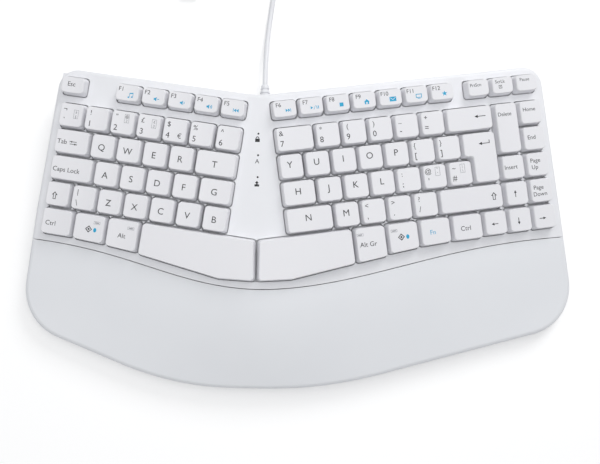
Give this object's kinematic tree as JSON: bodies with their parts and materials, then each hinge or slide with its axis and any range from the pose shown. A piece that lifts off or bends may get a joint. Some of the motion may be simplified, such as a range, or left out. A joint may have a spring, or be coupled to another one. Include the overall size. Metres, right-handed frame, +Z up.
{
  "type": "ergonomic split keyboard",
  "caption": "Ergonomic keyboard with two angled, tented key banks, a curved palm rest, fold-out rear feet and a corded plug.",
  "frame": {"origin": "on the desk, under the centre of the body's outline, feet standing on z = 0", "axes": "+X to the right of the person typing, +Y to the rear where the cord leaves, +Z up"},
  "size_m": [0.3974, 0.3898, 0.05],
  "materials": {
    "keycap": "satin",
    "upper_case": "satin",
    "palm_rest": "satin",
    "lower_case": "satin",
    "dome_rubber": "matte",
    "membrane": "clear film",
    "plate": "plain",
    "board": "solder mask",
    "lens": "clear",
    "screw": "plated",
    "foot_rubber": "matte",
    "cord_rubber": "satin",
    "plug_body": "satin",
    "plug_metal": "plated",
    "plug_tongue": "plain"
  },
  "bodies": {
    "case": {"top_case": "upper_case", "palm_rest": "palm_rest", "bottom_case": "lower_case", "rubber_dome_sheet": "dome_rubber", "membrane_circuit": "membrane", "support_plate": "plate", "controller_board": "board", "indicator_lenses": "lens", "case_screws": "screw", "rubber_feet": "foot_rubber", "strain_relief": "cord_rubber", "usb_cable": "cord_rubber", "cable_coil": "cord_rubber", "usb_plug_housing": "plug_body", "usb_plug_shell": "plug_metal", "usb_plug_tongue": "plug_tongue"},
    "key_escape": {"key_escape": "keycap"},
    "key_tab": {"key_tab": "keycap"},
    "key_caps_lock": {"key_caps_lock": "keycap"},
    "key_left_shift": {"key_left_shift": "keycap"},
    "key_left_control": {"key_left_control": "keycap"},
    "key_left_system": {"key_left_system": "keycap"},
    "key_left_alt": {"key_left_alt": "keycap"},
    "key_left_space": {"key_left_space": "keycap"},
    "key_t": {"key_t": "keycap"},
    "key_g": {"key_g": "keycap"},
    "key_7": {"key_7": "keycap"},
    "key_h": {"key_h": "keycap"},
    "key_n": {"key_n": "keycap"},
    "key_backspace": {"key_backspace": "keycap"},
    "key_enter": {"key_enter": "keycap"},
    "key_delete": {"key_delete": "keycap"},
    "key_home": {"key_home": "keycap"},
    "key_end": {"key_end": "keycap"},
    "key_insert": {"key_insert": "keycap"},
    "key_page_up": {"key_page_up": "keycap"},
    "key_page_down": {"key_page_down": "keycap"},
    "key_up": {"key_up": "keycap"},
    "key_left": {"key_left": "keycap"},
    "key_down": {"key_down": "keycap"},
    "key_right": {"key_right": "keycap"},
    "key_right_shift": {"key_right_shift": "keycap"},
    "key_right_space": {"key_right_space": "keycap"},
    "key_alt_gr": {"key_alt_gr": "keycap"},
    "key_right_system": {"key_right_system": "keycap"},
    "key_fn": {"key_fn": "keycap"},
    "key_right_control": {"key_right_control": "keycap"},
    "keys_f1_to_f5": {"keys_f1_to_f5": "keycap"},
    "keys_f6_to_f12": {"keys_f6_to_f12": "keycap"},
    "keys_print_to_pause": {"keys_print_to_pause": "keycap"},
    "keys_grave_to_6": {"keys_grave_to_6": "keycap"},
    "keys_8_to_equals": {"keys_8_to_equals": "keycap"},
    "keys_q_to_r": {"keys_q_to_r": "keycap"},
    "keys_y_to_right_bracket": {"keys_y_to_right_bracket": "keycap"},
    "keys_a_to_f": {"keys_a_to_f": "keycap"},
    "keys_j_to_hash": {"keys_j_to_hash": "keycap"},
    "keys_backslash_to_b": {"keys_backslash_to_b": "keycap"},
    "keys_m_to_slash": {"keys_m_to_slash": "keycap"},
    "tilt_foot_left": {"tilt_foot_left": "lower_case"},
    "tilt_foot_right": {"tilt_foot_right": "lower_case"}
  },
  "joints": [
    {"name": "key_escape_press", "type": "slide", "parent": "case", "child": "key_escape", "axis": [0.1041, 0.0867, -0.9908], "range_m": [0, 0.003], "stiffness_N_per_m": 150, "springref_m": -0.0015, "deforming": ["rubber_dome_sheet"]},
    {"name": "key_tab_press", "type": "slide", "parent": "case", "child": "key_tab", "axis": [0.1041, 0.0867, -0.9908], "range_m": [0, 0.003], "stiffness_N_per_m": 150, "springref_m": -0.0015, "deforming": ["rubber_dome_sheet"]},
    {"name": "key_caps_lock_press", "type": "slide", "parent": "case", "child": "key_caps_lock", "axis": [0.1041, 0.0867, -0.9908], "range_m": [0, 0.003], "stiffness_N_per_m": 150, "springref_m": -0.0015, "deforming": ["rubber_dome_sheet"]},
    {"name": "key_left_shift_press", "type": "slide", "parent": "case", "child": "key_left_shift", "axis": [0.1041, 0.0867, -0.9908], "range_m": [0, 0.003], "stiffness_N_per_m": 150, "springref_m": -0.0015, "deforming": ["rubber_dome_sheet"]},
    {"name": "key_left_control_press", "type": "slide", "parent": "case", "child": "key_left_control", "axis": [0.1041, 0.0867, -0.9908], "range_m": [0, 0.003], "stiffness_N_per_m": 150, "springref_m": -0.0015, "deforming": ["rubber_dome_sheet"]},
    {"name": "key_left_system_press", "type": "slide", "parent": "case", "child": "key_left_system", "axis": [0.1041, 0.0867, -0.9908], "range_m": [0, 0.003], "stiffness_N_per_m": 150, "springref_m": -0.0015, "deforming": ["rubber_dome_sheet"]},
    {"name": "key_left_alt_press", "type": "slide", "parent": "case", "child": "key_left_alt", "axis": [0.1041, 0.0867, -0.9908], "range_m": [0, 0.003], "stiffness_N_per_m": 150, "springref_m": -0.0015, "deforming": ["rubber_dome_sheet"]},
    {"name": "key_left_space_press", "type": "slide", "parent": "case", "child": "key_left_space", "axis": [0.1041, 0.0867, -0.9908], "range_m": [0, 0.003], "stiffness_N_per_m": 150, "springref_m": -0.0015, "deforming": ["rubber_dome_sheet"]},
    {"name": "key_t_press", "type": "slide", "parent": "case", "child": "key_t", "axis": [0.1041, 0.0867, -0.9908], "range_m": [0, 0.003], "stiffness_N_per_m": 150, "springref_m": -0.0015, "deforming": ["rubber_dome_sheet"]},
    {"name": "key_g_press", "type": "slide", "parent": "case", "child": "key_g", "axis": [0.1041, 0.0867, -0.9908], "range_m": [0, 0.003], "stiffness_N_per_m": 150, "springref_m": -0.0015, "deforming": ["rubber_dome_sheet"]},
    {"name": "key_7_press", "type": "slide", "parent": "case", "child": "key_7", "axis": [-0.0782, 0.0869, -0.9931], "range_m": [0, 0.003], "stiffness_N_per_m": 150, "springref_m": -0.0015, "deforming": ["rubber_dome_sheet"]},
    {"name": "key_h_press", "type": "slide", "parent": "case", "child": "key_h", "axis": [-0.0782, 0.0869, -0.9931], "range_m": [0, 0.003], "stiffness_N_per_m": 150, "springref_m": -0.0015, "deforming": ["rubber_dome_sheet"]},
    {"name": "key_n_press", "type": "slide", "parent": "case", "child": "key_n", "axis": [-0.0782, 0.0869, -0.9931], "range_m": [0, 0.003], "stiffness_N_per_m": 150, "springref_m": -0.0015, "deforming": ["rubber_dome_sheet"]},
    {"name": "key_backspace_press", "type": "slide", "parent": "case", "child": "key_backspace", "axis": [-0.0782, 0.0869, -0.9931], "range_m": [0, 0.003], "stiffness_N_per_m": 150, "springref_m": -0.0015, "deforming": ["rubber_dome_sheet"]},
    {"name": "key_enter_press", "type": "slide", "parent": "case", "child": "key_enter", "axis": [-0.0782, 0.0869, -0.9931], "range_m": [0, 0.003], "stiffness_N_per_m": 150, "springref_m": -0.0015, "deforming": ["rubber_dome_sheet"]},
    {"name": "key_delete_press", "type": "slide", "parent": "case", "child": "key_delete", "axis": [-0.0782, 0.0869, -0.9931], "range_m": [0, 0.003], "stiffness_N_per_m": 150, "springref_m": -0.0015, "deforming": ["rubber_dome_sheet"]},
    {"name": "key_home_press", "type": "slide", "parent": "case", "child": "key_home", "axis": [-0.0782, 0.0869, -0.9931], "range_m": [0, 0.003], "stiffness_N_per_m": 150, "springref_m": -0.0015, "deforming": ["rubber_dome_sheet"]},
    {"name": "key_end_press", "type": "slide", "parent": "case", "child": "key_end", "axis": [-0.0782, 0.0869, -0.9931], "range_m": [0, 0.003], "stiffness_N_per_m": 150, "springref_m": -0.0015, "deforming": ["rubber_dome_sheet"]},
    {"name": "key_insert_press", "type": "slide", "parent": "case", "child": "key_insert", "axis": [-0.0782, 0.0869, -0.9931], "range_m": [0, 0.003], "stiffness_N_per_m": 150, "springref_m": -0.0015, "deforming": ["rubber_dome_sheet"]},
    {"name": "key_page_up_press", "type": "slide", "parent": "case", "child": "key_page_up", "axis": [-0.0782, 0.0869, -0.9931], "range_m": [0, 0.003], "stiffness_N_per_m": 150, "springref_m": -0.0015, "deforming": ["rubber_dome_sheet"]},
    {"name": "key_page_down_press", "type": "slide", "parent": "case", "child": "key_page_down", "axis": [-0.0782, 0.0869, -0.9931], "range_m": [0, 0.003], "stiffness_N_per_m": 150, "springref_m": -0.0015, "deforming": ["rubber_dome_sheet"]},
    {"name": "key_up_press", "type": "slide", "parent": "case", "child": "key_up", "axis": [-0.0782, 0.0869, -0.9931], "range_m": [0, 0.003], "stiffness_N_per_m": 150, "springref_m": -0.0015, "deforming": ["rubber_dome_sheet"]},
    {"name": "key_left_press", "type": "slide", "parent": "case", "child": "key_left", "axis": [-0.0782, 0.0869, -0.9931], "range_m": [0, 0.003], "stiffness_N_per_m": 150, "springref_m": -0.0015, "deforming": ["rubber_dome_sheet"]},
    {"name": "key_down_press", "type": "slide", "parent": "case", "child": "key_down", "axis": [-0.0782, 0.0869, -0.9931], "range_m": [0, 0.003], "stiffness_N_per_m": 150, "springref_m": -0.0015, "deforming": ["rubber_dome_sheet"]},
    {"name": "key_right_press", "type": "slide", "parent": "case", "child": "key_right", "axis": [-0.0782, 0.0869, -0.9931], "range_m": [0, 0.003], "stiffness_N_per_m": 150, "springref_m": -0.0015, "deforming": ["rubber_dome_sheet"]},
    {"name": "key_right_shift_press", "type": "slide", "parent": "case", "child": "key_right_shift", "axis": [-0.0782, 0.0869, -0.9931], "range_m": [0, 0.003], "stiffness_N_per_m": 150, "springref_m": -0.0015, "deforming": ["rubber_dome_sheet"]},
    {"name": "key_right_space_press", "type": "slide", "parent": "case", "child": "key_right_space", "axis": [-0.0782, 0.0869, -0.9931], "range_m": [0, 0.003], "stiffness_N_per_m": 150, "springref_m": -0.0015, "deforming": ["rubber_dome_sheet"]},
    {"name": "key_alt_gr_press", "type": "slide", "parent": "case", "child": "key_alt_gr", "axis": [-0.0782, 0.0869, -0.9931], "range_m": [0, 0.003], "stiffness_N_per_m": 150, "springref_m": -0.0015, "deforming": ["rubber_dome_sheet"]},
    {"name": "key_right_system_press", "type": "slide", "parent": "case", "child": "key_right_system", "axis": [-0.0782, 0.0869, -0.9931], "range_m": [0, 0.003], "stiffness_N_per_m": 150, "springref_m": -0.0015, "deforming": ["rubber_dome_sheet"]},
    {"name": "key_fn_press", "type": "slide", "parent": "case", "child": "key_fn", "axis": [-0.0782, 0.0869, -0.9931], "range_m": [0, 0.003], "stiffness_N_per_m": 150, "springref_m": -0.0015, "deforming": ["rubber_dome_sheet"]},
    {"name": "key_right_control_press", "type": "slide", "parent": "case", "child": "key_right_control", "axis": [-0.0782, 0.0869, -0.9931], "range_m": [0, 0.003], "stiffness_N_per_m": 150, "springref_m": -0.0015, "deforming": ["rubber_dome_sheet"]},
    {"name": "keys_f1_to_f5_press", "type": "slide", "parent": "case", "child": "keys_f1_to_f5", "axis": [0.1041, 0.0867, -0.9908], "range_m": [0, 0.003], "stiffness_N_per_m": 750, "springref_m": -0.0015, "deforming": ["rubber_dome_sheet"]},
    {"name": "keys_f6_to_f12_press", "type": "slide", "parent": "case", "child": "keys_f6_to_f12", "axis": [-0.0782, 0.0869, -0.9931], "range_m": [0, 0.003], "stiffness_N_per_m": 1050, "springref_m": -0.0015, "deforming": ["rubber_dome_sheet"]},
    {"name": "keys_print_to_pause_press", "type": "slide", "parent": "case", "child": "keys_print_to_pause", "axis": [-0.0782, 0.0869, -0.9931], "range_m": [0, 0.003], "stiffness_N_per_m": 450, "springref_m": -0.0015, "deforming": ["rubber_dome_sheet"]},
    {"name": "keys_grave_to_6_press", "type": "slide", "parent": "case", "child": "keys_grave_to_6", "axis": [0.1041, 0.0867, -0.9908], "range_m": [0, 0.003], "stiffness_N_per_m": 1050, "springref_m": -0.0015, "deforming": ["rubber_dome_sheet"]},
    {"name": "keys_8_to_equals_press", "type": "slide", "parent": "case", "child": "keys_8_to_equals", "axis": [-0.0782, 0.0869, -0.9931], "range_m": [0, 0.003], "stiffness_N_per_m": 750, "springref_m": -0.0015, "deforming": ["rubber_dome_sheet"]},
    {"name": "keys_q_to_r_press", "type": "slide", "parent": "case", "child": "keys_q_to_r", "axis": [0.1041, 0.0867, -0.9908], "range_m": [0, 0.003], "stiffness_N_per_m": 600, "springref_m": -0.0015, "deforming": ["rubber_dome_sheet"]},
    {"name": "keys_y_to_right_bracket_press", "type": "slide", "parent": "case", "child": "keys_y_to_right_bracket", "axis": [-0.0782, 0.0869, -0.9931], "range_m": [0, 0.003], "stiffness_N_per_m": 1050, "springref_m": -0.0015, "deforming": ["rubber_dome_sheet"]},
    {"name": "keys_a_to_f_press", "type": "slide", "parent": "case", "child": "keys_a_to_f", "axis": [0.1041, 0.0867, -0.9908], "range_m": [0, 0.003], "stiffness_N_per_m": 600, "springref_m": -0.0015, "deforming": ["rubber_dome_sheet"]},
    {"name": "keys_j_to_hash_press", "type": "slide", "parent": "case", "child": "keys_j_to_hash", "axis": [-0.0782, 0.0869, -0.9931], "range_m": [0, 0.003], "stiffness_N_per_m": 900, "springref_m": -0.0015, "deforming": ["rubber_dome_sheet"]},
    {"name": "keys_backslash_to_b_press", "type": "slide", "parent": "case", "child": "keys_backslash_to_b", "axis": [0.1041, 0.0867, -0.9908], "range_m": [0, 0.003], "stiffness_N_per_m": 900, "springref_m": -0.0015, "deforming": ["rubber_dome_sheet"]},
    {"name": "keys_m_to_slash_press", "type": "slide", "parent": "case", "child": "keys_m_to_slash", "axis": [-0.0782, 0.0869, -0.9931], "range_m": [0, 0.003], "stiffness_N_per_m": 600, "springref_m": -0.0015, "deforming": ["rubber_dome_sheet"]},
    {"name": "tilt_foot_left_hinge", "type": "hinge", "parent": "case", "child": "tilt_foot_left", "pos_m": [-0.12219, 0.07529, 0.0036], "axis": [-1, 0, 0], "range_deg": [0, 90]},
    {"name": "tilt_foot_right_hinge", "type": "hinge", "parent": "case", "child": "tilt_foot_right", "pos_m": [0.14581, 0.08868, 0.0036], "axis": [-1, 0, 0], "range_deg": [0, 90]}
  ]
}
